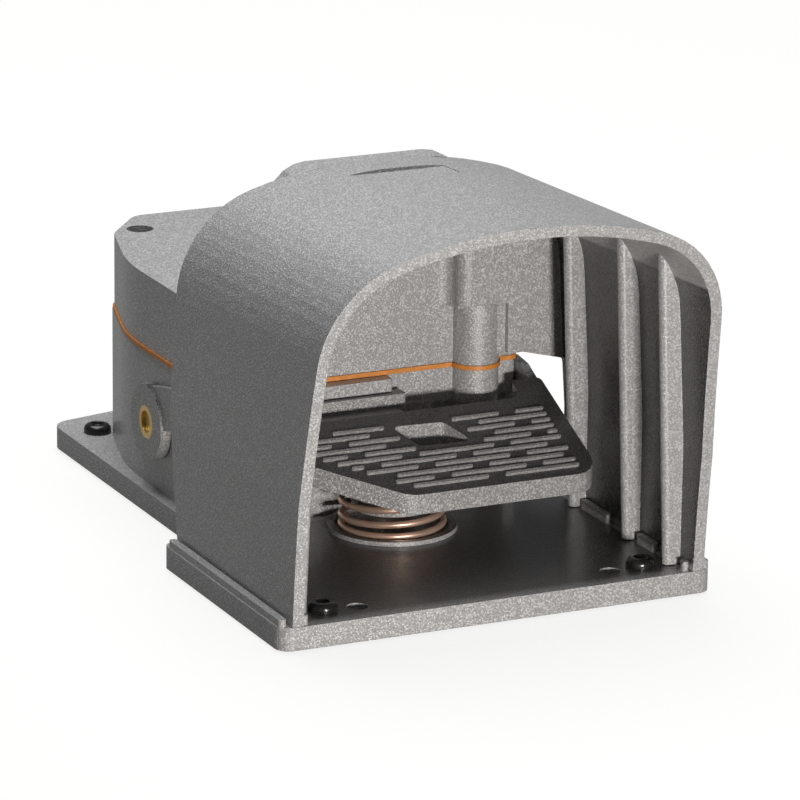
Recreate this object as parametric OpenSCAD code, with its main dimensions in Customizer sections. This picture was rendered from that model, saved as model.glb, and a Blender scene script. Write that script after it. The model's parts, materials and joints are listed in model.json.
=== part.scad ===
// Single-pedal industrial foot switch with a cast foot guard.
// Millimetres, +Z up, X across the foot, the foot goes in towards +Y.
// Each module is written with y = 0 at the base's front edge and z = 0 at its underside;
// placed() then moves it so that the origin is the middle of the footprint, on the floor.

/* [Base casting] */
// Width of the base across the guard
base_w = 160; // [150:1:190]
// Depth of the wide front part of the base
base_d = 99; // [96:1:120]
// Height of the base plate's rim
plate_t = 8; // [7:0.5:11]
// Thickness of the plate's skin over its hollow underside
skin_t = 4; // [3:0.5:5]
// Height of the guide rails above the plate
rail_h = 2.5; // [1.5:0.1:3]
// Thickness of the outer guide rails
rail_t = 3.2; // [2.5:0.1:4]
// How far the rear flange stands out beyond the switch box's sides
flange_margin = 4.3; // [2:0.1:6]
// How far the rear tongue reaches behind the switch box
tongue_d = 9.5; // [8:0.5:16]
// Diameter of the two fixing holes
fixing_d = 7; // [5:0.1:8]
// Distance between the two fixing holes
fixing_pitch = 94; // [86:1:98]
// Distance of the fixing holes from the front edge
fixing_inset = 12; // [10:0.5:16]
// How far the rubber feet stand out below the base
foot_proud = 1; // [0.5:0.1:3]

/* [Foot guard and lid] */
// Wall thickness of the guard
guard_wall = 4; // [3:0.25:5]
// Height of the guard's mouth at its crown
guard_h = 141; // [135:1:160]
// Fall of the crown from the mouth to the back
guard_drop = 5.8; // [2:0.2:9]
// Forward lean of the mouth, in degrees
mouth_rake = 9.4; // [4:0.1:14]
// Inward lean of each side wall from foot to shoulder
side_lean = 2.5; // [1:0.25:4]
// Radius of the shoulders
shoulder_r = 38; // [30:1:42]
// Radius of the crown
crown_r = 160; // [130:5:220]
// Thickness of the guard's back wall
back_wall = 4.5; // [3.5:0.25:6]
// Width of the toe bulge at the back of the guard
bulge_w = 72; // [60:1:80]
// Depth of the toe bulge behind the guard's back wall
bulge_d = 9; // [6:0.5:11]
// How far the stiffening ribs stand in from the side walls
rib_depth = 5.7; // [3:0.1:7]
// Thickness of a stiffening rib
rib_t = 4; // [3:0.25:5]
// Distance of the front stiffening rib from the back of the guard
rib_front = 93.7; // [88:0.1:96]
// Distance of the middle stiffening rib from the back of the guard
rib_middle = 64; // [58:0.1:70]
// Distance of the rear stiffening rib from the back of the guard
rib_rear = 23.5; // [20:0.1:30]
// Inward lean of the ribs, in degrees
rib_lean = 2.3; // [0:0.1:3]
// Height of the lid's top
lid_z = 84; // [80:0.5:92]
// Thickness of the lid's top
lid_t = 4.5; // [3.5:0.25:6]

/* [Switch box] */
// Height of the sealing plane
seal_z = 56; // [54:0.5:60]
// Thickness of the gasket
gasket_t = 1.6; // [1:0.1:2.5]
// How far the gasket stands proud of the walls
gasket_proud = 0.6; // [0:0.1:1]
// Depth of the switch box
box_d = 137; // [130:1:150]
// How far the lid's back is set in from the switch box's
lid_set = 2; // [0.5:0.5:3]
// Wall thickness of the switch box
box_wall = 4; // [3:0.25:5]
// Height of the underside of the overhanging front chamber
overhang_z = 44; // [43:0.5:45.5]
// Depth of the open recesses below the chamber
recess_d = 25; // [20:0.5:28]
// Half width of the box's narrow nose between the recesses
nose_half = 27; // [25:0.5:30]
// Radius of the front screw bosses
boss_r = 8.5; // [7:0.25:9]
// Distance of the front screw bosses from the box's sides
boss_inset = 16.5; // [15:0.5:19]
// Diameter of the cable entry's threaded hole
entry_d = 18.5; // [14:0.5:22]
// Height of the cable entry's axis
entry_z = 34; // [30:0.5:38]

/* [Pedal] */
// Clearance between the pedal and the guard's ribs
pedal_gap = 3.9; // [2.5:0.1:6]
// Depth of the tread, seen from above
tread_d = 39; // [34:0.5:42]
// Thickness of the tread's rim
tread_t = 6.4; // [6:0.2:8]
// Height of the tread's front edge
tread_z = 30.4; // [28:0.2:32]
// Slope of the tread, in degrees
tread_slope = 23.8; // [20:0.2:25]
// Free space between the tread and the switch box
tread_back = 18; // [16:0.5:22]
// Thickness of the side arms
arm_t = 4; // [3:0.25:5]
// Depth of the side arms
arm_h = 14; // [12:0.5:15]
// Gap between the side arms and the switch box
arm_gap = 0.4; // [0.3:0.05:0.8]
// Radius of the hubs on the pivot shaft
hub_r = 13.5; // [11:0.5:15]
// Distance of the pivot behind the switch box's front
pivot_back = 49; // [47:0.5:52]
// Height of the pivot
pivot_z = 33.4; // [31:0.2:35]
// Swing of the pedal, in degrees
pedal_swing = 5; // [3:0.25:5.5]
// Distance from one tread bar to the next
bar_pitch = 3.08; // [2.6:0.02:4]
// Length of a tread bar between two gaps
bar_l = 28.4; // [20:0.2:34]
// Gap between the tread bars of one row
bar_gap = 6.4; // [4:0.2:9]
// Width of a tread bar
bar_w = 1.3; // [1:0.1:1.6]
// Height of a tread bar
bar_h = 0.9; // [0.5:0.1:1.4]

/* [Pivot shaft] */
// Diameter of the pivot shaft
shaft_d = 8; // [7:0.5:10]
// Radial running clearance of the shaft in its bushes
run_gap = 0.05; // [0.02:0.01:0.1]
// Wall thickness of the bushes
bush_wall = 1.9; // [1.5:0.1:2.5]

/* [Return spring] */
// Outer diameter of the return spring
spring_d = 38; // [34:0.5:39]
// Diameter of the return spring's wire
wire_d = 2.3; // [1.8:0.1:2.6]
// Number of working turns
spring_turns = 3; // [3:0.5:6]
// Distance of the spring's axis behind the tread's front edge
spring_back = 35; // [30:0.5:36]

/* [Snap switch] */
// Length of the cam lever from the shaft to its nose
cam_l = 26; // [23:0.5:27]
// Width of the snap switch
switch_w = 34; // [30:0.5:36]
// Depth of the snap switch
switch_d = 24; // [22:0.5:25]
// Height of the snap switch
switch_h = 20; // [18:0.5:20.5]
// Diameter of the plunger
plunger_d = 6; // [5:0.25:7]
// Thickness of the mounting bracket
bracket_t = 1.5; // [1:0.25:2.5]

/* [Hidden] */
$fn = 48;
seat = 0.3;                // clearance between pieces that seat on each other
eps = 0.01;
cut = 1;                   // how far a cutting body runs past a face

// Places, from front to back and from the middle out
guard_half = base_w / 2 - rail_t - 0.8;          // outside of the guard at its foot
guard_foot = plate_t + seat;
guard_back = base_d + 3.5;                       // outside of the guard's back wall
box_y = guard_back + 4.5;                        // front of the switch box
box_back = box_y + box_d;
lid_back = box_back - lid_set;
bulge_back = guard_back + bulge_d;
pedal_half = guard_half - guard_wall - rib_depth - pedal_gap;
box_half = pedal_half - arm_t - arm_gap;
flange_half = box_half + flange_margin;
base_back = box_back + tongue_d;
pivot_y = box_y + pivot_back;
mouth_foot_y = -0.5;
crown_front_y = mouth_foot_y - (guard_h - guard_foot) * tan(mouth_rake);
mid_y = (crown_front_y + base_back) / 2;
cover_z = seal_z + gasket_t;                     // lower edge of the cover
ceiling_z = lid_z - lid_t;
shaft_r = shaft_d / 2;
bush_r = shaft_r + bush_wall;
boss_x = box_half - boss_inset;
boss_rear = [box_half - 22, lid_back - 18];
foot_x = [59, box_half - 7];
foot_y = [13, box_back - 15.5];
tread_y = box_y - tread_back - tread_d;          // front edge of the tread
tread_rise = tan(tread_slope);
spring_y = tread_y + spring_back;
ear_x = pedal_half - 11.5;                       // inner edge of the tread's rear ears
pad_z = 30;                                      // seat of the spring under the tread
travel = (pivot_y - spring_y) * sin(pedal_swing);
spigot_r = spring_d / 2 - wire_d - 2.4;
spigot_z = plate_t + 0.4 + (pivot_y - spring_y + spigot_r) * sin(pedal_swing);
stop_z = seal_z - 5;                             // top of the pedal's stop lug
plunger_y = pivot_y - cam_l;
switch_z = plate_t + bracket_t;
switch_top = switch_z + switch_h;
plunger_top = switch_top + 3.7;
cam_nose_r = 3.5;
cam_nose_z = plunger_top + seat + cam_nose_r;
plunger_travel = cam_l * sin(pedal_swing);
bridge_z = switch_z + 10.5;                      // underside of the contact bridge
bridge_t = 0.8;
strip_t = 1;
screw_r = 2.5;                                   // M5 cover screws
screw_hole_r = screw_r + 0.25;
screw_head_r = screw_r * 1.7;
screw_head_h = screw_r * 2;
screw_sink = lid_z - cover_z - 12.4;             // depth of the rear screws' counterbores
rib_places = [guard_back - rib_front, guard_back - rib_middle, guard_back - rib_rear];

// ---------- shared outlines ----------

function unit(v) = v / norm(v);
function turn(a, b, c) = sign((b[0] - a[0]) * (c[1] - b[1]) - (b[1] - a[1]) * (c[0] - b[0]));

// Points of an arc about centre c, from angle a0 to a1
function arc(c, r, a0, a1, n = 8) = [
    for (k = [0:n]) c + r * [cos(a0 + (a1 - a0) * k / n), sin(a0 + (a1 - a0) * k / n)]
];

// The rounding of corner b between its neighbours a and c
function rounded_corner(a, b, c, r, n) = let (
    u = unit(a - b),
    w = unit(c - b),
    half = acos(u * w) / 2,
    centre = b + unit(u + w) * r / sin(half),
    start = b + u * r / tan(half) - centre,
    a0 = atan2(start[1], start[0])
) arc(centre, r, a0, a0 + turn(a, b, c) * (180 - 2 * half), n);

function xy(p) = [p[0], p[1]];

// A closed outline from corners given as [x, y, radius]
function rounded(pts, n = 5) = let (m = len(pts)) [
    for (i = [0:m - 1])
        each rounded_corner(xy(pts[(i + m - 1) % m]), xy(pts[i]), xy(pts[(i + 1) % m]), pts[i][2], n)
];

// The same corners moved inwards by d, for an outline that runs anticlockwise
function inset(pts, d) = let (m = len(pts)) [
    for (i = [0:m - 1]) let (
        a = xy(pts[(i + m - 1) % m]),
        b = xy(pts[i]),
        c = xy(pts[(i + 1) % m]),
        u = unit(a - b),
        w = unit(c - b),
        p = b + turn(a, b, c) * unit(u + w) * d / sin(acos(u * w) / 2)
    ) [p[0], p[1], max(pts[i][2] - d, 0.6)]
];

// A block's outline with rounded corners
function block(x0, y0, x1, y1, r) = rounded([[x0, y0, r], [x1, y0, r], [x1, y1, r], [x0, y1, r]]);

// Corners on the right, followed by their reflections on the left
function mirrored(right) = concat(
    right,
    [for (i = [len(right) - 1:-1:0]) [-right[i][0], right[i][1], right[i][2]]]
);

// Plan of the switch box: straight sides that curve in to a cut-off back
function box_outline(back) = mirrored([
    [box_half, box_y, 2.5],
    [box_half, back - 58, 100],
    [box_half - 11, back - 20, 8],
    [box_half - 27, back, 8]
]);
box_corners = box_outline(box_back);
lid_corners = box_outline(lid_back);

base_corners = mirrored([[base_w / 2, 0, 5], [base_w / 2, base_d, 4]]);

flange_corners = mirrored([
    [flange_half, base_d - 20, 1],
    [flange_half, box_back + 1, 8],
    [flange_half - 38, base_back, 12]
]);

// Corners of the guard's section: x across, z up from the guard's foot, t the inset
function guard_section(h, t, foot, kz = 1) = let (
    side = guard_half - side_lean - t,
    r = shoulder_r - t,
    big = crown_r - t,
    cz = h - crown_r,
    sx = guard_half - side_lean - shoulder_r,
    sz = cz + sqrt(pow(crown_r - shoulder_r, 2) - sx * sx),
    a = atan2(sz - cz, sx),
    half = concat(
        [[guard_half - t, foot], [guard_half - t, 42]],
        arc([sx, sz], r, 2, a, 10),
        [for (p = arc([0, cz], big, a, 90, 7)) if (p[0] > 1 && p[0] < sx * big / (crown_r - shoulder_r) - 1) p]
    )
) [for (p = concat(half, [for (i = [len(half) - 1:-1:0]) [-half[i][0], half[i][1]]])) [p[0], p[1] * kz]];

// ---------- shared shapes ----------

module placed() translate([0, -mid_y, foot_proud]) children();

module both_sides() {
    children();
    mirror([1, 0, 0]) children();
}

// A shape drawn across x and z, standing from y0 to y1
module across(y0, y1) translate([0, y1, 0]) rotate([90, 0, 0]) linear_extrude(y1 - y0) children();

// A shape drawn across y and z, standing from x0 to x1
module along(x0, x1) translate([x0, 0, 0]) rotate([90, 0, 90]) linear_extrude(x1 - x0) children();

module rod(x0, x1, r) translate([x0, 0, 0]) rotate([0, 90, 0]) cylinder(h = x1 - x0, r = r);

module pillar(p, z0, z1, r) translate([p[0], p[1], z0]) cylinder(h = z1 - z0, r = r);

// A cylinder-head screw, its head's seat at z = 0 and its shank downwards
module socket_screw(r, l, head_r, head_h) difference() {
    union() {
        translate([0, 0, -l]) cylinder(h = l + eps, r = r);
        cylinder(h = head_h, r = head_r);
    }
    translate([0, 0, head_h * 0.45]) cylinder(h = head_h, r = head_r * 0.55, $fn = 6);
}

// A closed and ground compression spring, as a wire swept along its coil
module coil(r, wire, h, turns, per_turn = 18, sides = 6) {
    dead = 0.75;
    total = turns + 2 * dead;
    n = round(total * per_turn);
    low = wire / 2;
    high = h - wire / 2;
    rise = high - low - 2 * wire * dead * 1.05;
    function level(t) = t < dead ? low + t * wire * 1.05
        : t > total - dead ? high - (total - t) * wire * 1.05
        : low + wire * dead * 1.05 + rise * (t - dead) / turns;
    points = [
        for (i = [0:n], s = [0:sides - 1]) let (
            t = i / per_turn,
            q = 360 * s / sides,
            rr = r + wire / 2 * cos(q)
        ) [rr * cos(360 * t), rr * sin(360 * t), level(t) + wire / 2 * sin(q)]
    ];
    faces = concat(
        [[for (s = [0:sides - 1]) s]],
        [for (i = [0:n - 1], s = [0:sides - 1])
            let (a = i * sides + s, b = i * sides + (s + 1) % sides) [b, a, a + sides, b + sides]],
        [[for (s = [sides - 1:-1:0]) n * sides + s]]
    );
    polyhedron(points, faces, convexity = 10);
}

// ---------- base casting ----------

module base_plan() {
    polygon(rounded(base_corners));
    polygon(rounded(flange_corners));
}

// Hollow underside: two pockets crossed by ribs, left solid round every hole
module underside() difference() {
    translate([0, 0, -cut]) linear_extrude(plate_t - skin_t + cut) difference() {
        union() {
            polygon(rounded(inset(base_corners, 5)));
            translate([0, base_d - 8]) square([2 * flange_half - 10, 12], center = true);
            polygon(rounded(inset(flange_corners, 5)));
        }
        for (x = [-1, 1]) translate([x * 30 - 1.5, 0]) square([3, base_back]);
        for (y = [base_d / 2, base_d + 3, (base_d + box_back) / 2])
            translate([-base_w / 2, y]) square([base_w, 3]);
    }
    for (p = foot_places()) pillar(p, -2 * cut, plate_t, 8.5);
    for (x = [-1, 1]) pillar([x * fixing_pitch / 2, fixing_inset], -2 * cut, plate_t, fixing_d / 2 + 4.2);
}

function foot_places() = [for (k = [0, 1], s = [-1, 1]) [s * foot_x[k], foot_y[k]]];

// Rails that hold the guard's foot: an outer one, and an inner one in lengths between the ribs
module rails() both_sides() {
    outer = base_w / 2 - 0.4;
    inner = guard_half - guard_wall - seat;
    linear_extrude(plate_t + rail_h) polygon(block(outer - rail_t + 0.4, 2, outer, base_d - 4, 1.3));
    linear_extrude(plate_t + rail_h + 0.7) {
        polygon(block(inner - 2.4, 1.5, inner, rib_places[0] - 4.3, 1.1));
        polygon(block(inner - 2.4, rib_places[1] - 15, inner, rib_places[1] - 2.4, 1.1));
        polygon(block(inner - 2.4, rib_places[2] - 21, inner, rib_places[2] - 1, 1.1));
    }
}

// The box's outside: the full chamber above, the rear body and the nose below
module box_body() {
    translate([0, 0, overhang_z]) linear_extrude(seal_z - overhang_z) polygon(rounded(box_corners));
    intersection() {
        translate([0, 0, plate_t / 2]) linear_extrude(overhang_z) polygon(rounded(box_corners));
        translate([-base_w / 2, box_y + recess_d, 0]) cube([base_w, box_d, overhang_z + cut]);
    }
    translate([0, 0, plate_t / 2]) linear_extrude(overhang_z - plate_t / 2 + cut)
        polygon(rounded(mirrored([[nose_half, box_y - 1, 5], [nose_half, box_y + recess_d + cut, 1]])));
    for (s = [-1, 1]) pillar([s * boss_x, box_y], overhang_z, seal_z, boss_r);
    // cheeks that close the recesses at the sides
    both_sides() translate([box_half - box_wall, box_y + 0.5, plate_t / 2])
        cube([box_wall, recess_d + cut, overhang_z - plate_t / 2 + cut]);
}

// The box's inside, from the floor to the sealing plane
module box_hollow() {
    inner = rounded(inset(box_corners, box_wall));
    translate([0, 0, overhang_z + 3.5]) linear_extrude(seal_z) polygon(inner);
    intersection() {
        translate([0, 0, plate_t]) linear_extrude(seal_z) polygon(inner);
        translate([-base_w / 2, box_y + recess_d + box_wall, 0]) cube([base_w, box_d, seal_z + cut]);
    }
    translate([0, 0, plate_t]) linear_extrude(seal_z)
        polygon(rounded(mirrored([[nose_half - box_wall, box_y + box_wall, 2],
            [nose_half - box_wall, box_y + recess_d + 2 * box_wall, 1]])));
}

// Bosses inside the box: cover screws, shaft bearings, cable entry, earth screw
module box_bosses() {
    for (s = [-1, 1]) {
        pillar([s * boss_x, box_y], overhang_z + 2.5, seal_z, boss_r);
        pillar([s * boss_rear[0], boss_rear[1]], plate_t / 2, seal_z, 8);
    }
    translate([0, pivot_y, pivot_z]) both_sides() rod(box_half - bearing_l(), box_half - eps, bush_r + 4);
    translate([0, box_back - 12, entry_z]) rotate([-90, 0, 0]) cylinder(h = 12 - eps, r = entry_d / 2 + 4);
    pillar(earth_place(), plate_t / 2, plate_t + 4, 6);
}

function bearing_l() = box_wall + 4.5;
function earth_place() = [-box_half + 20, box_back - 42];

module base_casting() color("dimgray") placed() difference() {
    union() {
        difference() {
            union() {
                linear_extrude(plate_t) base_plan();
                rails();
                box_body();
                translate([0, box_back - 2, entry_z]) rotate([-90, 0, 0]) cylinder(h = 4, r = entry_d / 2 + 4);
            }
            box_hollow();
        }
        box_bosses();
        // stop ledge that the pedal's lug rests under
        translate([0, 0, stop_z + seat]) linear_extrude(seal_z - stop_z - seat - 0.2)
            polygon(block(-24, box_y - 5.5, 7.5, box_y + 1, 0.8));
        // ring that keeps the return spring in place
        translate([0, spring_y, 0]) difference() {
            cylinder(h = plate_t + 1.5, r = spring_d / 2 + 3.5);
            translate([0, 0, plate_t]) cylinder(h = plate_t, r = spring_d / 2 + 1);
        }
    }
    underside();
    for (p = foot_places()) pillar(p, -cut, plate_t + cut, 3);
    for (p = foot_places()) pillar(p, -cut, 1.5, 6.8);
    for (x = [-1, 1]) pillar([x * fixing_pitch / 2, fixing_inset], -cut, plate_t + cut, fixing_d / 2);
    for (s = [-1, 1]) {
        pillar([s * boss_x, box_y], overhang_z, seal_z + cut, screw_hole_r);
        pillar([s * boss_x, box_y], overhang_z - cut, overhang_z + 2.5, screw_head_r + 0.65);
        pillar([s * boss_rear[0], boss_rear[1]], seal_z - 18, seal_z + cut, screw_r);
    }
    translate([0, pivot_y, pivot_z]) rod(-base_w, base_w, bush_r);
    translate([0, box_back - 20, entry_z]) rotate([-90, 0, 0]) cylinder(h = 30, r = entry_d / 2);
    pillar(earth_place(), plate_t - 2, plate_t + 4 + cut, 2);
    for (p = bracket_holes()) pillar(p, plate_t - 3, plate_t + cut, 2);
}

// Rubber feet pushed through the plate: pad below, stem, barbed head above
module rubber_feet() color("black") placed() for (p = foot_places()) {
    pillar(p, -foot_proud, 1.5, 6.5);
    pillar(p, 1.5 - eps, plate_t + eps, 3);
    translate([p[0], p[1], plate_t]) rotate_extrude()
        polygon(concat([[0, 0], [5, 0], [5, 1]], arc([3, 1.2], 2, 0, 90, 5), [[2.4, 3.2], [1.8, 2.2], [0, 2.2]]));
}

// ---------- cover casting: guard and lid in one ----------

module guard_slice(y, lean, h, t, foot) translate([0, y, guard_foot]) rotate([90 + lean, 0, 0])
    linear_extrude(0.02, center = true) polygon(guard_section(h, t, foot, 1 / cos(lean)));

module guard_solid() hull() {
    guard_slice(mouth_foot_y, mouth_rake, guard_h - guard_foot, 0, 0);
    guard_slice(guard_back, 0, guard_h - guard_drop - guard_foot, 0, 0);
}

// Cuts the mouth's edge to a curve that leans further out the higher it is
module mouth_cut() along(-base_w, base_w) polygon(concat(
    [[crown_front_y - 30, -base_w], [mouth_foot_y, -base_w], [mouth_foot_y, guard_foot]],
    [for (k = [1:12]) let (s = k / 12) [
        mouth_foot_y + (crown_front_y - mouth_foot_y) * s * (0.4 + 0.6 * s),
        guard_foot + (guard_h - guard_foot) * s
    ]],
    [[crown_front_y, 2 * base_w], [crown_front_y - 30, 2 * base_w]]
));

// Stiffening rib with a rounded nose, leaning in a little towards its top
module rib(y) translate([guard_half - guard_wall - rib_depth, y, guard_foot - cut]) rotate([0, -rib_lean, 0])
    linear_extrude(guard_h) {
        translate([rib_t / 2, 0]) square([3 * rib_depth, rib_t]);
        translate([rib_t / 2, rib_t / 2]) circle(d = rib_t);
    }

// The foot cavity, with the ribs of the side walls left standing
module guard_hollow() difference() {
    hull() {
        guard_slice(mouth_foot_y - 0.5, mouth_rake, guard_h - guard_foot, guard_wall, -6);
        guard_slice(guard_back - back_wall, 0, guard_h - guard_drop - guard_foot, guard_wall, -6);
    }
    both_sides() for (y = rib_places) rib(y);
}

function crown_slope() = guard_drop / (guard_back - crown_front_y);

bulge_top = guard_h - 7;
bulge_r = 14;

module bulge() across(guard_back - 2, bulge_back)
    polygon(rounded(mirrored([[bulge_w / 2, ceiling_z - cut, 0.5], [bulge_w / 2, bulge_top, bulge_r]])));

// Room for the toes inside the bulge, its edges rounded towards the foot cavity
module bulge_hollow() intersection() {
    half = bulge_w / 2 - back_wall;
    front = guard_back - back_wall;
    translate([0, 0, lid_z - lid_t - cut]) linear_extrude(guard_h) polygon(rounded(mirrored([
        [half + 12, front - 10, 1],
        [half + 12, front, 0.6],
        [half, front, 4],
        [half, bulge_back - back_wall, 4]
    ])));
    across(front - 12, bulge_back) polygon(rounded(mirrored([
        [half + 12, lid_z - lid_t - 2 * cut, 0.5],
        [half + 12, bulge_top - back_wall, bulge_r]
    ])));
}

// Where the back wall opens: over the switch box, and past it for the pedal's arms
module back_opening() {
    arch_z = cover_z + 3.4;
    inner = guard_half - 2.5;
    across(guard_back - back_wall - cut, guard_back + cut) polygon(rounded(mirrored([
        [inner, -20, 1],
        [inner, arch_z - 4.5, 3],
        [box_half - 2, arch_z, 3],
        [box_half - 8, arch_z, 0.8],
        [box_half - 8, ceiling_z, 1]
    ])));
    // the side walls' back edges lean forward below the lid
    along(-base_w, base_w) polygon([
        [guard_back - 7, -cut],
        [guard_back - 7, guard_foot],
        [guard_back + 0.1, cover_z],
        [guard_back + cut, cover_z],
        [guard_back + cut, -cut]
    ]);
}

module lid_solid() {
    translate([0, 0, cover_z]) linear_extrude(lid_z - cover_z) polygon(rounded(lid_corners));
    for (s = [-1, 1]) pillar([s * boss_x, box_y], cover_z, lid_z - 1, boss_r);
    // the lid's top runs forward to the guard's back wall
    translate([-box_half, guard_back - 2, ceiling_z]) cube([2 * box_half, 8, lid_t]);
    // corner posts between the back wall and the lid's sides
    both_sides() translate([0, 0, cover_z + 3.4]) linear_extrude(lid_z - cover_z - 3.4)
        polygon(rounded([[box_half - 8, guard_back - back_wall, 3], [box_half, guard_back - 2, 0.5],
            [box_half, box_y + 3, 0.5], [box_half - 8, box_y + 3, 0.5]]));
    both_sides() translate([boss_x, box_y - boss_r + 2, cover_z + 3.4])
        cube([boss_inset - 6, boss_r, ceiling_z - cover_z - 3.4 + cut]);
}

module lid_hollow() difference() {
    translate([0, 0, cover_z - cut]) linear_extrude(ceiling_z - cover_z + cut)
        polygon(rounded(inset(lid_corners, box_wall)));
    for (s = [-1, 1]) {
        pillar([s * boss_x, box_y], cover_z - 2 * cut, lid_z, boss_r);
        pillar([s * boss_rear[0], boss_rear[1]], cover_z - 2 * cut, lid_z, 8);
    }
}

module cover_casting() color("gray") placed() difference() {
    union() {
        difference() {
            guard_solid();
            guard_hollow();
            mouth_cut();
            back_opening();
        }
        lid_solid();
        bulge();
    }
    lid_hollow();
    bulge_hollow();
    // bare shallow panel on the crown
    translate([0, guard_back - 18, guard_h - guard_drop + 18 * crown_slope()])
        rotate([-atan(crown_slope()), 0, 0])
            translate([-17.5, -14, -1.3]) cube([35, 14, 10]);
    for (s = [-1, 1]) {
        pillar([s * boss_x, box_y], cover_z - cut, ceiling_z - 3, screw_r);
        pillar([s * boss_rear[0], boss_rear[1]], cover_z - cut, lid_z + cut, screw_hole_r);
        pillar([s * boss_rear[0], boss_rear[1]], lid_z - screw_sink, lid_z + cut, screw_head_r + 0.65);
    }
}

module gasket() color("darkorange") placed() translate([0, 0, seal_z]) linear_extrude(gasket_t) difference() {
    union() {
        polygon(rounded(inset(lid_corners, -gasket_proud)));
        for (s = [-1, 1]) translate([s * boss_x, box_y]) circle(r = boss_r + gasket_proud);
    }
    difference() {
        polygon(rounded(inset(lid_corners, box_wall)));
        for (s = [-1, 1]) {
            translate([s * boss_x, box_y]) circle(r = boss_r);
            translate([s * boss_rear[0], boss_rear[1]]) circle(r = 8);
        }
    }
    for (s = [-1, 1]) {
        translate([s * boss_x, box_y]) circle(r = screw_hole_r);
        translate([s * boss_rear[0], boss_rear[1]]) circle(r = screw_hole_r);
    }
}

module rear_cover_screws() color("silver") placed() for (s = [-1, 1])
    translate([s * boss_rear[0], boss_rear[1], lid_z - screw_sink])
        socket_screw(screw_r, 2 * screw_sink - 3.6, screw_head_r, screw_head_h);

module front_cover_screws() color("silver") placed() for (s = [-1, 1])
    translate([s * boss_x, box_y, overhang_z + 2.5]) mirror([0, 0, 1])
        socket_screw(screw_r, ceiling_z - overhang_z - 8, screw_head_r, screw_head_h - 0.6);

// ---------- pivot in the box ----------

module shaft_bushes() color("darkgoldenrod") placed() translate([0, pivot_y, pivot_z]) both_sides() difference() {
    rod(box_half - bearing_l() + 3, box_half, bush_r);
    rod(0, base_w, shaft_r + run_gap);
}

module shaft_seals() color("black") placed() translate([0, pivot_y, pivot_z]) both_sides() difference() {
    rod(box_half - bearing_l() + 0.4, box_half - bearing_l() + 2.9, bush_r);
    rod(0, base_w, shaft_r + run_gap);
}

// ---------- pedal ----------

function on_tread(y) = tread_z + (y - tread_y) * tread_rise;
ear_d = tread_d + 8.5;                           // depth to the back of the rear ears
cut_x = 9.5;                                     // where the front's long corner cut starts
cut_slope = 0.674;
cut_d = (pedal_half - cut_x) * cut_slope;        // and how far back it reaches

// Plan of the tread: a long cut at one front corner, two rear ears
tread_corners = [
    [-cut_x, 0, 14],
    [pedal_half, 0, 8],
    [pedal_half, ear_d, 2],
    [ear_x, ear_d, 2],
    [ear_x, tread_d, 4],
    [-ear_x, tread_d, 4],
    [-ear_x, ear_d, 2],
    [-pedal_half, ear_d, 2],
    [-pedal_half, cut_d, 5]
];

pocket_corners = [
    [-cut_x, 0, 14],
    [pedal_half, 0, 8],
    [pedal_half, tread_d, 5],
    [-cut_x - tread_d / cut_slope, tread_d, 5]
];

window_corners = [[4.2, 22.2, 1.5], [23.9, 21.4, 1.5], [17.5, 31.9, 3], [-2.3, 32.7, 1.5]];

module in_tread() translate([0, tread_y, tread_z]) rotate([tread_slope, 0, 0]) children();

// A slab of the tread, from one depth below its top to another
module tread_slab(low, high) in_tread() translate([-base_w, -base_w, -low])
    cube([2 * base_w, 3 * base_w, low - high]);

module upright() translate([0, tread_y, -cut]) linear_extrude(base_w) children();

module tread_shape() difference() {
    intersection() {
        upright() polygon(rounded(tread_corners));
        tread_slab(tread_t, 0);
    }
    // hollow underside inside the rim, with two stiffening ribs
    intersection() {
        upright() difference() {
            polygon(rounded(inset(pocket_corners, 4)));
            for (s = [-1, 1]) translate([s * 36 - 1.5, 0]) square([3, tread_d]);
            polygon(rounded(inset(window_corners, -3)));
        }
        tread_slab(tread_t + cut, tread_t - 2.8);
    }
}

// One stretch of a raised bar, if it is long enough to be worth casting
module bar(x0, x1, v) if (x1 - x0 > 2.5) {
    translate([x0 + bar_w / 2, v - bar_w / 2]) square([x1 - x0 - bar_w, bar_w]);
    for (x = [x0, x1]) translate([x + sign(x1 + x0 - 2 * x) * bar_w / 2, v]) circle(d = bar_w, $fn = 16);
}

// Rows of raised bars; the gaps step by half a bar from row to row and slant with the window
module tread_bars() linear_extrude(bar_h) {
    first = 4.4;
    lean = (window_corners[3][0] - window_corners[0][0]) / (window_corners[3][1] - window_corners[0][1]);
    rows = floor((tread_d / cos(tread_slope) - 6 - first) / bar_pitch);
    period = bar_l + bar_gap;
    for (k = [0:rows]) {
        v = first + k * bar_pitch;
        y = v * cos(tread_slope);
        left = max(-cut_x + 7.5 - y / cut_slope, -pedal_half + 5.5);
        right = pedal_half - 6.4;
        at_window = y > window_corners[1][1] - 2 && y < window_corners[3][1] + 2;
        slide = lean * (y - window_corners[0][1]);
        w0 = window_corners[0][0] + slide - 3;
        w1 = window_corners[1][0] + slide + 3;
        for (n = [-3:2]) {
            gap = 24.5 + lean * (y - first) + (k % 2) * period / 2 + n * period;
            x0 = max(left, gap + bar_gap / 2);
            x1 = min(right, gap + period - bar_gap / 2);
            if (at_window) {
                bar(x0, min(x1, w0), v);
                bar(max(x0, w1), x1, v);
            } else
                bar(x0, x1, v);
        }
    }
}

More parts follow.
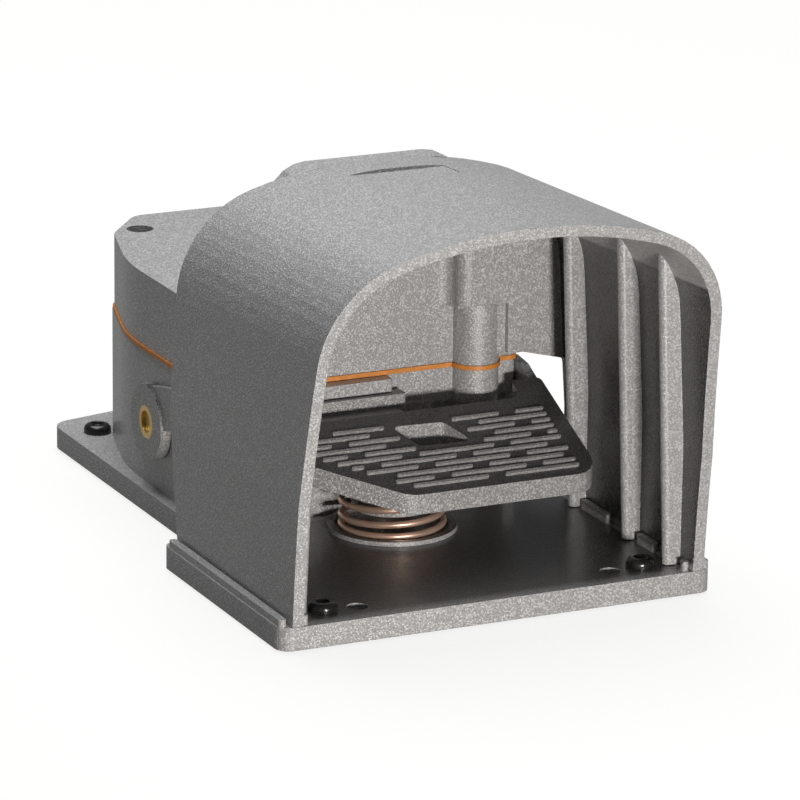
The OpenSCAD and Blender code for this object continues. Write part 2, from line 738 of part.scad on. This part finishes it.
// Side arm, seen from the side: it runs on from the tread, over a crest, down to the hub
module arm() {
    crest = [box_y + 7, seal_z - 0.4];
    root_y = tread_y + tread_d - 4;
    along(box_half + arm_gap, pedal_half - 1) polygon(rounded([
        [root_y, on_tread(root_y) - 6, 0.3],
        [box_y - 4, crest[1] - arm_h, 8],
        [crest[0] + 3, crest[1] - arm_h - 1, 12],
        [pivot_y - hub_r + 1, pivot_z, 0.3],
        [pivot_y, pivot_z, 0.3],
        [pivot_y - 1, pivot_z + hub_r - 0.2, 0.3],
        [crest[0], crest[1], 12],
        [box_y - 2.5, on_tread(box_y - 2.5), 4],
        [root_y, on_tread(root_y) - 1, 0.3]
    ]));
    translate([0, pivot_y, pivot_z]) rod(box_half + arm_gap, pedal_half, hub_r);
}

module pedal() color("dimgray") placed() difference() {
    union() {
        difference() {
            union() {
                tread_shape();
                // seat of the return spring
                intersection() {
                    pillar([0, spring_y], pad_z, seal_z, spring_d / 2 + 0.5);
                    tread_slab(base_w, 1.5);
                    upright() translate([-base_w, -tread_d]) square([2 * base_w, 2 * tread_d - 0.5]);
                }
                pillar([0, spring_y], pad_z, pad_z + 5, spring_d / 2 + 0.5);
            }
            upright() polygon(rounded(window_corners));
        }
        pillar([0, spring_y], spigot_z, pad_z + 3, spigot_r);
        in_tread() translate([0, 0, -eps]) tread_bars();
        both_sides() arm();
        // stop lug on its neck behind the tread
        translate([0, 0, stop_z - 6.5]) linear_extrude(6.5)
            polygon(block(-28, box_y - 8.5, 11.5, box_y - 2.5, 1.5));
        translate([-24, tread_y + tread_d - 2.5, stop_z - 10]) cube([31.5, tread_back - 3.5, 5.5]);
    }
    translate([0, pivot_y, pivot_z]) rod(-base_w, base_w, hub_hole_r());
}

function hub_hole_r() = shaft_r + 1.9;

module hub_bushes() color("goldenrod") placed() translate([0, pivot_y, pivot_z]) both_sides() difference() {
    rod(box_half + arm_gap, pedal_half, hub_hole_r());
    rod(0, base_w, shaft_r);
}

module pivot_shaft() color("khaki") placed() translate([0, pivot_y, pivot_z]) difference() {
    rod(-pedal_half + 1.2, pedal_half - 1.2, shaft_r);
    both_sides() difference() {
        rod(ring_x(), ring_x() + 1, shaft_r + cut);
        rod(0, base_w, shaft_r - 0.4);
    }
    rotate([90, 0, 0]) cylinder(h = 60, r = 1.5, center = true);
}

function ring_x() = box_half - bearing_l() - 1.4;

module shaft_rings() color("silver") placed() translate([0, pivot_y, pivot_z]) both_sides() difference() {
    rod(ring_x(), ring_x() + 1, shaft_r + 2.5);
    rod(0, base_w, shaft_r - 0.4);
}

// Lever on the shaft that presses the switch's plunger with its rounded nose
module cam_lever() color("slategray") placed() translate([0, pivot_y, pivot_z]) difference() {
    union() {
        rod(-7, 7, shaft_r + 5);
        along(-4, 4) polygon([
            [0, shaft_r + 4.5],
            [-cam_l - 1, cam_nose_z - pivot_z + cam_nose_r - 0.2],
            [-cam_l - 1, cam_nose_z - pivot_z],
            [0, -shaft_r]
        ]);
        translate([0, -cam_l, cam_nose_z - pivot_z]) rod(-4, 4, cam_nose_r);
    }
    rod(-base_w, base_w, shaft_r);
    rotate([90, 0, 0]) cylinder(h = 60, r = 1.5, center = true);
}

module cam_pin() color("silver") placed() translate([0, pivot_y, pivot_z])
    rotate([90, 0, 0]) cylinder(h = 2 * shaft_r + 8, r = 1.5, center = true);

module return_spring() color("peru") placed() translate([0, spring_y, plate_t]) rotate([0, 0, 126])
    coil((spring_d - wire_d) / 2, wire_d, pad_z - plate_t, spring_turns);

// ---------- snap switch ----------

switch_y = plunger_y - switch_d / 2;
function bracket_holes() = [for (s = [-1, 1]) [s * 12, switch_y + switch_d + 6]];
function switch_holes() = [[switch_w / 2 - 3.5, switch_y + 3.5], [-switch_w / 2 + 3.5, switch_y + switch_d - 3.5]];

module switch_bracket() color("silver") placed() difference() {
    translate([0, 0, plate_t]) linear_extrude(bracket_t)
        polygon(rounded(mirrored([[switch_w / 2, switch_y, 2], [switch_w / 2, switch_y + switch_d + 10, 3]])));
    for (p = bracket_holes()) pillar(p, 0, seal_z, 2.2);
    for (p = switch_holes()) pillar(p, 0, seal_z, 1.5);
}

module bracket_screws() color("silver") placed() for (p = bracket_holes())
    translate([p[0], p[1], plate_t + bracket_t]) socket_screw(2, 4, 3.5, 2.6);

module switch_housing() color("ivory") placed() difference() {
    translate([-switch_w / 2, switch_y, switch_z]) cube([switch_w, switch_d - 2, switch_h]);
    // contact chamber, open at the back
    translate([-switch_w / 2 + 6, switch_y + 6, switch_z + 2.5]) cube([switch_w - 12, switch_d, switch_h - 5.5]);
    pillar([0, plunger_y], switch_z + 5, switch_top + cut, plunger_d / 2 + run_gap);
    for (p = switch_holes()) pillar(p, 0, seal_z, 1.7);
    // slots that the contact strips pass through, and terminal steps
    for (s = [-1, 1]) {
        translate([s * (switch_w / 2 - 3) - 4, plunger_y - 4.1, closed_z()]) cube([8, 4.2, strip_t]);
        translate([s * (switch_w / 2 - 3) - 4, plunger_y - 0.1, open_z()]) cube([8, 4.2, strip_t]);
    }
}

module switch_cover() color("beige") placed() difference() {
    translate([-switch_w / 2, switch_y + switch_d - 2, switch_z]) cube([switch_w, 2, switch_h]);
    for (p = switch_holes()) pillar(p, 0, seal_z, 1.7);
}

module switch_screws() color("silver") placed() for (p = switch_holes())
    translate([p[0], p[1], switch_top]) socket_screw(1.5, switch_h + bracket_t - 0.2, 2.8, 2);

function closed_z() = bridge_z + bridge_t + seat;
function open_z() = bridge_z - plunger_travel - seat - strip_t;

// Fixed contact strips: inside end beside the plunger, outside end under a terminal screw
module contact_strips(y, z) both_sides() difference() {
    translate([8, y, z]) cube([switch_w / 2 - 8 + 5, 4, strip_t]);
    pillar([switch_w / 2 + 2.2, y + 2], 0, seal_z, 1.25);
}

module closed_contacts() color("gold") placed() contact_strips(plunger_y - 4, closed_z());

module open_contacts() color("gold") placed() contact_strips(plunger_y, open_z());

module terminal_screws() color("silver") placed() for (s = [-1, 1]) {
    translate([s * (switch_w / 2 + 2.2), plunger_y - 2, closed_z() + strip_t]) socket_screw(1.25, 4, 2, 1.5);
    translate([s * (switch_w / 2 + 2.2), plunger_y + 2, open_z()]) mirror([0, 0, 1])
        socket_screw(1.25, 3, 2, 1.5);
}

module plunger() color("white") placed() {
    pillar([0, plunger_y], bridge_z + bridge_t, plunger_top, plunger_d / 2);
    pillar([0, plunger_y], bridge_z - 1, bridge_z + bridge_t + eps, 1.5);
    pillar([0, plunger_y], bridge_z - 2, bridge_z - eps, plunger_d / 2);
}

module contact_bridge() color("gold") placed() difference() {
    translate([-switch_w / 2 + 6.6, plunger_y - 4, bridge_z]) cube([switch_w - 13.2, 8, bridge_t]);
    pillar([0, plunger_y], 0, seal_z, 1.5);
}

module plunger_spring() color("silver") placed() translate([0, plunger_y, switch_z + 2.5])
    coil(plunger_d / 2 - 0.5, 0.6, bridge_z - 2 - switch_z - 2.5, 3, 12, 6);

module earth_screw() color("silver") placed()
    translate([earth_place()[0], earth_place()[1], plate_t + 5]) socket_screw(2, 6, 3.5, 2.6);

module earth_washer() color("gold") placed() difference() {
    pillar(earth_place(), plate_t + 4, plate_t + 5, 5);
    pillar(earth_place(), 0, seal_z, 2.1);
}

base_casting();
rubber_feet();
cover_casting();
gasket();
rear_cover_screws();
front_cover_screws();
shaft_bushes();
shaft_seals();
switch_bracket();
bracket_screws();
switch_housing();
switch_cover();
switch_screws();
closed_contacts();
open_contacts();
terminal_screws();
plunger_spring();
earth_screw();
earth_washer();
return_spring();
pedal();
pivot_shaft();
hub_bushes();
shaft_rings();
cam_lever();
cam_pin();
plunger();
contact_bridge();
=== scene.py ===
import json
import math

import bmesh
import bpy
from mathutils import Matrix, Vector


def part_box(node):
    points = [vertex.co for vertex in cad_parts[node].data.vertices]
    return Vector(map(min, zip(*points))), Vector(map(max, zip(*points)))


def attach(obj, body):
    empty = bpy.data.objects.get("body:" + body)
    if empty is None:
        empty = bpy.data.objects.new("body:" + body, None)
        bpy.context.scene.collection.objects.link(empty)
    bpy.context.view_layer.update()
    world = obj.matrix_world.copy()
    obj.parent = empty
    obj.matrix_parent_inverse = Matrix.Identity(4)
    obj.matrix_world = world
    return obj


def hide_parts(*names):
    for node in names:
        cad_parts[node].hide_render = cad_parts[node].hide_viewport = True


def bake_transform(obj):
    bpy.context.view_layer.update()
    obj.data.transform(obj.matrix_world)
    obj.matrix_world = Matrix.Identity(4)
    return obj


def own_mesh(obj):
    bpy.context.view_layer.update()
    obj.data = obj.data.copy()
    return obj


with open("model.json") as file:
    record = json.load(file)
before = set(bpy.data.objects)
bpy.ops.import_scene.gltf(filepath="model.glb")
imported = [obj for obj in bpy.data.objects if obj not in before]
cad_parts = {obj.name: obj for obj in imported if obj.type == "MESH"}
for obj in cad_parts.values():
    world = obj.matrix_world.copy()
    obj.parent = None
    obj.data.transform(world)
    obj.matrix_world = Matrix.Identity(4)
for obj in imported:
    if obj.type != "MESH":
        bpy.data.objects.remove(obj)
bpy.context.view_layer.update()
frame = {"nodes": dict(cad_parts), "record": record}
nodes = frame["nodes"]

MM = 0.001
UP = (0, 0, 1)

# ---------- shader maths ----------


class Value:
    """A socket that can be added, multiplied and compared as a number."""

    def __init__(self, shader, socket):
        self.shader, self.socket = shader, socket

    def _math(self, operation, *values):
        settings = {"operation": operation}
        return self.shader.node("ShaderNodeMath", settings, dict(enumerate(values)))[0]

    def __add__(self, other):
        return self._math("ADD", self, other)

    def __sub__(self, other):
        return self._math("SUBTRACT", self, other)

    def __rsub__(self, other):
        return self._math("SUBTRACT", other, self)

    def __mul__(self, other):
        return self._math("MULTIPLY", self, other)

    __radd__ = __add__
    __rmul__ = __mul__

    def __abs__(self):
        return self._math("ABSOLUTE", self)

    def clamp(self):
        """Held between 0 and 1."""
        return self._math("MINIMUM", self._math("MAXIMUM", self, 0), 1)

    def between(self, low, high):
        """0 below low, 1 above high, smooth between them."""
        settings = {"interpolation_type": "SMOOTHSTEP"}
        inputs = {"Value": self, "From Min": low, "From Max": high}
        return self.shader.node("ShaderNodeMapRange", settings, inputs)["Result"]


class Outputs:
    """A made node: its outputs by name or number."""

    def __init__(self, shader, node):
        self.shader, self.made = shader, node

    def __getitem__(self, key):
        return Value(self.shader, self.made.outputs[key])


class Shader:
    """The emptied node tree of a material or a world."""

    def __init__(self, owner):
        owner.use_nodes = True
        self.tree = owner.node_tree
        self.tree.nodes.clear()

    def node(self, kind, settings=None, inputs=None):
        made = self.tree.nodes.new(kind)
        for key, value in (settings or {}).items():
            setattr(made, key, value)
        for key, value in (inputs or {}).items():
            if isinstance(value, Value):
                self.tree.links.new(value.socket, made.inputs[key])
            else:
                made.inputs[key].default_value = value
        return Outputs(self, made)


class Finish(Shader):
    """A material that is built up from nodes. Its pattern scales count per metre."""

    def __init__(self, name):
        self.material = bpy.data.materials.new(name)
        super().__init__(self.material)
        self.place = self.node("ShaderNodeTexCoord")["Object"]

    def coordinates(self):
        """The place on the piece as three numbers, in metres."""
        where = self.node("ShaderNodeSeparateXYZ", {}, {0: self.place})
        return where["X"], where["Y"], where["Z"]

    def mix(self, factor, low, high):
        """A colour between low and high."""
        inputs = {"Factor": factor, 6: low, 7: high}
        return self.node("ShaderNodeMix", {"data_type": "RGBA"}, inputs)[2]

    def noise(self, scale, detail=2.0, roughness=0.5, where=None):
        inputs = {
            "Vector": where or self.place,
            "Scale": scale,
            "Detail": detail,
            "Roughness": roughness,
        }
        return self.node("ShaderNodeTexNoise", {}, inputs)["Fac"]

    def cells(self, scale):
        inputs = {"Vector": self.place, "Scale": scale}
        return self.node("ShaderNodeTexVoronoi", {"feature": "F1"}, inputs)["Distance"]

    def stretched(self, x, y, z):
        inputs = {"Vector": self.place, "Scale": (x, y, z)}
        return self.node("ShaderNodeMapping", {}, inputs)["Vector"]

    def agreement(self, direction):
        """The dot product of the surface's own normal and a direction."""
        normal = self.node("ShaderNodeNewGeometry")["Normal"]
        inputs = {0: normal, 1: direction}
        return self.node("ShaderNodeVectorMath", {"operation": "DOT_PRODUCT"}, inputs)["Value"]

    def facing(self, direction):
        """How far the surface faces a direction, from 0 to 1."""
        return self.agreement(direction).clamp()

    def softened(self, radius):
        """A normal rounded over sharp edges."""
        return self.node("ShaderNodeBevel", {"samples": 6}, {"Radius": radius})["Normal"]

    def edges(self, radius):
        """1 on sharp edges, 0 on flat faces."""
        return (1 - self.agreement(self.softened(radius))).between(0.0, 0.25)

    def bump(self, height, strength, distance, soft=0.0):
        """Relief on the surface, whose sharp edges are rounded by soft."""
        inputs = {"Height": height, "Strength": strength, "Distance": distance}
        if soft:
            inputs["Normal"] = self.softened(soft)
        return self.node("ShaderNodeBump", {}, inputs)["Normal"]

    def principled(self, **inputs):
        names = {key.replace("_", " "): value for key, value in inputs.items()}
        surface = self.node("ShaderNodeBsdfPrincipled", {}, names)["BSDF"]
        self.node("ShaderNodeOutputMaterial", {}, {"Surface": surface})
        return self.material


def rgb(red, green, blue):
    return (red, green, blue, 1.0)


def deeper(colour, share):
    """A share of a colour's light."""
    return rgb(*(share * part for part in colour[:3]))


# ---------- finishes ----------


def hammered_enamel(name, dark, light, worn, roughness, wear, soft, painted_shade):
    """Hammertone paint: small pale islands with darker seams, worn bright along sharp edges.

    Its last argument gives the mask of faces that get painted shade: near black, glossier and
    less metallic, standing in for the shadow they lie in.
    """
    paint = Finish(name)
    islands = paint.cells(1150.0) + (paint.noise(420.0) - 0.5) * 0.6
    island = 1 - islands.between(0.15, 0.6)
    grain = paint.noise(2100.0, 2.0, 0.6)
    speckle = (island * 0.6 + grain.between(0.4, 0.66) * 0.5).clamp()
    shade = paint.noise(9.0, 3.0).between(0.3, 0.7)
    # painted shade: the mask of faces that lie in shadow
    painted_shade_mask = painted_shade(paint)
    edge = paint.edges(soft) * paint.noise(420.0, 3.0, 0.6).between(0.36, 0.6)
    body = paint.mix(speckle, dark, light)
    body = paint.mix(shade * 0.12, body, deeper(dark, 0.7))
    # painted shade: those faces are turned near black, standing in for their shadow
    body = paint.mix(painted_shade_mask * 0.9, body, deeper(dark, 0.1))
    body = paint.mix(edge * wear, body, worn)
    return paint.principled(
        Base_Color=body,
        Metallic=0.08 * (1 - painted_shade_mask),
        Roughness=roughness + (grain - 0.5) * 0.16 - painted_shade_mask * 0.12,
        Coat_Weight=0.4,
        Coat_Roughness=0.2,
        Normal=paint.bump(island * 0.8 + grain * 0.35, 0.6, 0.2 * MM, soft),
    )


def guard_inside_painted_shade(paint):
    """Painted shade: the floor between the guard's walls, and the inner faces of the walls up
    to the mouth, which lie in shade under the hood.
    """
    x, y, z = paint.coordinates()
    out = abs(x)
    front = 1 - y.between(-15 * MM, -13 * MM)

    between_walls = 1 - out.between(69 * MM, 70.5 * MM)
    behind_edge = y.between(-114.5 * MM, -108 * MM)
    low = 1 - z.between(11 * MM, 12 * MM)
    level = paint.facing(UP).between(0.6, 0.95)
    floor = between_walls * behind_edge * low * level

    right = x.between(-MM, MM)
    inwards = paint.facing((-1, 0, 0)) * right + paint.facing((1, 0, 0)) * (1 - right)
    beyond_ribs = (out + z * 0.022).between(68.6 * MM, 69.6 * MM)
    within_wall = 1 - out.between(72.3 * MM, 73 * MM)
    above_floor = z.between(10 * MM, 13 * MM)
    walls = inwards.between(0.75, 0.95) * beyond_ribs * within_wall * above_floor * 1.25
    return front * (floor + walls)


def tread_painted_shade(paint):
    """Painted shade on the sloped tread between its raised bars, whose tops stay bright; the
    tread faces up into the dark under the hood.
    """
    y, z = paint.coordinates()[1:]
    bars = (y * -0.404 + z * 0.915).between(55.6 * MM, 55.9 * MM)
    return paint.facing((0, -0.4, 0.92)).between(0.8, 0.97) * (1 - bars)


def rubber(name, colour, roughness):
    """Moulded rubber with a little dust in its grain."""
    skin = Finish(name)
    dust = skin.noise(340.0, 3.0).between(0.45, 0.75)
    dusty = rgb(*(min(1.0, part * 1.5 + 0.015) for part in colour[:3]))
    return skin.principled(
        Base_Color=skin.mix(dust * 0.5, colour, dusty),
        Roughness=roughness + dust * 0.12,
        Normal=skin.bump(skin.noise(1800.0), 0.2, 0.05 * MM, 0.3 * MM),
    )


def plated(name, colour, roughness, tarnish):
    """Bright metal with fine turning marks and a little tarnish."""
    metal = Finish(name)
    streaks = metal.noise(900.0, 2.0, 0.6, metal.stretched(0.08, 1.0, 1.0))
    stain = metal.noise(120.0, 3.0).between(0.4, 0.7)
    return metal.principled(
        Base_Color=metal.mix(stain * tarnish, colour, deeper(colour, 0.55)),
        Metallic=1.0,
        Roughness=roughness + streaks * 0.15 + stain * 0.08,
        Normal=metal.bump(streaks, 0.12, 0.04 * MM, 0.2 * MM),
    )


def moulded(name, colour):
    """Plain moulded plastic with a slight haze."""
    plastic = Finish(name)
    haze = plastic.noise(60.0).between(0.35, 0.7)
    return plastic.principled(
        Base_Color=plastic.mix(haze * 0.2, colour, deeper(colour, 0.8)),
        Roughness=0.42 + haze * 0.1,
        Normal=plastic.bump(plastic.noise(1400.0), 0.12, 0.04 * MM, 0.3 * MM),
    )


def drawn_wire(name):
    """Steel wire with a brownish oil film and fine drawing lines."""
    wire = Finish(name)
    lines = wire.noise(700.0, where=wire.stretched(1.0, 1.0, 3.0))
    film = wire.noise(90.0).between(0.35, 0.65)
    return wire.principled(
        Base_Color=wire.mix(film, rgb(0.85, 0.6, 0.46), rgb(0.7, 0.48, 0.36)),
        Metallic=0.7,
        Roughness=0.32 + lines * 0.12,
        Normal=wire.bump(lines, 0.15, 0.04 * MM),
    )


FINISHES = {
    "cast_paint": hammered_enamel(
        "hammered_grey",
        dark=rgb(0.29, 0.29, 0.285),
        light=rgb(0.64, 0.635, 0.63),
        worn=rgb(0.8, 0.79, 0.77),
        roughness=0.42,
        wear=0.6,
        soft=0.5 * MM,
        # painted shade on the floor and inner walls inside the guard
        painted_shade=guard_inside_painted_shade,
    ),
    "pedal_paint": hammered_enamel(
        "hammered_dark",
        dark=rgb(0.22, 0.22, 0.215),
        light=rgb(0.56, 0.555, 0.545),
        worn=rgb(0.75, 0.74, 0.72),
        roughness=0.4,
        wear=0.55,
        soft=0.3 * MM,
        # painted shade on the top of the pedal's tread
        painted_shade=tread_painted_shade,
    ),
    "black_rubber": rubber("black_rubber", rgb(0.012, 0.012, 0.012), 0.22),
    "orange_rubber": rubber("orange_rubber", rgb(0.62, 0.23, 0.04), 0.45),
    "zinc_steel": plated("zinc_steel", rgb(0.6, 0.6, 0.58), 0.28, 0.3),
    "spring_steel": drawn_wire("drawn_wire"),
    "yellow_steel": plated("yellow_steel", rgb(0.5, 0.36, 0.12), 0.32, 0.6),
    "brass": plated("brass", rgb(0.85, 0.6, 0.25), 0.3, 0.4),
    "pale_plastic": moulded("pale_plastic", rgb(0.7, 0.67, 0.58)),
}

for part in frame["record"]["subparts"]:
    mesh = nodes[part["node"]].data
    mesh.materials.clear()
    mesh.materials.append(FINISHES[part["material_slot"]])

# ---------- pieces ----------


def set_out(bm, name, material):
    """Turns a finished bmesh into an object of the scene."""
    mesh = bpy.data.meshes.new(name)
    bm.to_mesh(mesh)
    bm.free()
    mesh.materials.append(material)
    made = bpy.data.objects.new(name, mesh)
    bpy.context.scene.collection.objects.link(made)
    return made


def add_piece(bm, name, body, slot):
    """Sets out a smooth piece, riding on a body if one is named."""
    bmesh.ops.recalc_face_normals(bm, faces=bm.faces)
    for face in bm.faces:
        face.smooth = True
    piece = set_out(bm, name, FINISHES[slot])
    if body:
        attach(piece, body)
    return piece


LIVE_TURNS, END_TURNS = 3, 0.75
END_PITCH = 1.05  # of the wire's diameter, so that closed turns just clear each other
STEPS_A_TURN, WIRE_SIDES = 40, 14


def wound_spring(name, node, wire, start, body=None):
    """A compression spring with closed ends, in the place of a CAD node.

    wire is its diameter, and start the angle of its lower end. The middles of its foot and
    head come with it.
    """
    low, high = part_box(node)
    centre = Vector(((low.x + high.x) / 2, (low.y + high.y) / 2, 0))
    radius = (high.x - low.x - wire) / 2
    closed = wire * END_PITCH
    live = (high.z - low.z - wire - 2 * END_TURNS * closed) / LIVE_TURNS

    bm = bmesh.new()
    made = bmesh.ops.create_circle(bm, segments=WIRE_SIDES, radius=wire / 2, cap_ends=True)
    upright = Matrix.Rotation(math.pi / 2, 4, "X")
    outward = Matrix.Translation(Vector((radius, 0, low.z + wire / 2)))
    around = Matrix.Translation(centre) @ Matrix.Rotation(math.radians(start), 4, "Z")
    bmesh.ops.transform(bm, matrix=around @ outward @ upright, verts=made["verts"])
    ring = bm.edges[:]
    for turns, pitch in ((END_TURNS, closed), (LIVE_TURNS, live), (END_TURNS, closed)):
        swept = bmesh.ops.spin(
            bm,
            geom=ring,
            cent=centre,
            axis=UP,
            dvec=(0, 0, pitch / STEPS_A_TURN),
            angle=2 * math.pi * turns,
            steps=round(turns * STEPS_A_TURN),
            use_merge=False,
            use_duplicate=False,
        )
        ring = [part for part in swept["geom_last"] if isinstance(part, bmesh.types.BMEdge)]
    bmesh.ops.contextual_create(bm, geom=ring)
    spring = add_piece(bm, name, body, "spring_steel")
    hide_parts(node)
    return spring, centre + Vector((0, 0, low.z)), centre + Vector((0, 0, high.z))


coil, foot, head = wound_spring("return_coil", "return_spring", 2.3 * MM, 126)
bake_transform(coil)
coil, foot, head = wound_spring("plunger_coil", "plunger_spring", 0.6 * MM, 0, "housing")
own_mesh(coil)

# ---------- camera ----------

AZIMUTH, ELEVATION, ROLL = (math.radians(angle) for angle in (-25.7, 16.64, 0.75))
AIM = Vector((0, -55.516 * MM, 61 * MM))
DISTANCE = 1.8781

camera_data = bpy.data.cameras.new("camera")
camera_data.lens = 249.5
camera_data.shift_x = -0.0314
camera_data.shift_y = 0.0016
camera_data.clip_end = 20
back = Vector(
    (
        math.sin(AZIMUTH) * math.cos(ELEVATION),
        -math.cos(AZIMUTH) * math.cos(ELEVATION),
        math.sin(ELEVATION),
    )
)
level = Vector((math.cos(AZIMUTH), math.sin(AZIMUTH), 0))
rolled = level * math.cos(ROLL) + back.cross(level) * math.sin(ROLL)
sight = Matrix((rolled, back.cross(rolled), back)).transposed().to_4x4()
camera = bpy.data.objects.new("camera", camera_data)
camera.matrix_world = Matrix.Translation(AIM + back * DISTANCE) @ sight
bpy.context.scene.collection.objects.link(camera)
bpy.context.scene.camera = camera
bpy.context.scene.view_settings.view_transform = "Standard"

# ---------- floor, world and lights ----------

PAPER_WHITE = rgb(1, 1, 0.99)
FLOOR_HALF = 6


def floor_paper():
    """Paper that is white to the camera, faint in mirrors, and dark to the light it returns."""
    sheet = Finish("floor_paper")
    rays = sheet.node("ShaderNodeLightPath")
    seen = (rays["Is Camera Ray"] + rays["Is Glossy Ray"] * 0.12).clamp()
    paper = sheet.mix(seen, rgb(0.13, 0.13, 0.127), rgb(0.92, 0.92, 0.91))
    matt = sheet.node("ShaderNodeBsdfDiffuse", {}, {"Color": paper})["BSDF"]
    lit = {"Color": PAPER_WHITE, "Strength": 1.0}
    glow = sheet.node("ShaderNodeEmission", {}, lit)["Emission"]
    mixed = sheet.node("ShaderNodeMixShader", {}, {0: seen * 0.85, 1: matt, 2: glow})
    sheet.node("ShaderNodeOutputMaterial", {}, {"Surface": mixed["Shader"]})
    return sheet.material


bm = bmesh.new()
bmesh.ops.create_grid(bm, x_segments=1, y_segments=1, size=FLOOR_HALF)
floor = set_out(bm, "floor", floor_paper())

world = bpy.data.worlds.new("studio")
bpy.context.scene.world = world
sky = Shader(world)
camera_ray = sky.node("ShaderNodeLightPath")["Is Camera Ray"]
fill, white = (
    sky.node("ShaderNodeBackground", {}, {"Color": colour})["Background"]
    for colour in (rgb(0.1, 0.1, 0.102), PAPER_WHITE)
)
chosen = sky.node("ShaderNodeMixShader", {}, {0: camera_ray, 1: fill, 2: white})
sky.node("ShaderNodeOutputWorld", {}, {"Surface": chosen["Shader"]})


def softbox(name, place, aim, size, watts, colour):
    data = bpy.data.lights.new(name, "AREA")
    data.shape = "RECTANGLE"
    data.size, data.size_y = size
    data.energy = watts
    data.color = colour
    lamp = bpy.data.objects.new(name, data)
    lamp.location = place
    lamp.rotation_euler = (Vector(aim) - Vector(place)).to_track_quat("-Z", "Y").to_euler()
    bpy.context.scene.collection.objects.link(lamp)
    return lamp


softbox(
    "overhead",
    place=(0.05, 0.35, 1.5),
    aim=(0.05, 0.35, 0),
    size=(1.2, 1.6),
    watts=32,
    colour=(0.98, 0.98, 1),
)
low_front = softbox(
    "low_front",
    place=(-0.055, -0.66, 0.045),
    aim=(0, 0, 0.06),
    size=(0.08, 0.06),
    watts=3.1,
    colour=(1, 0.95, 0.92),
)
low_front.visible_camera = False
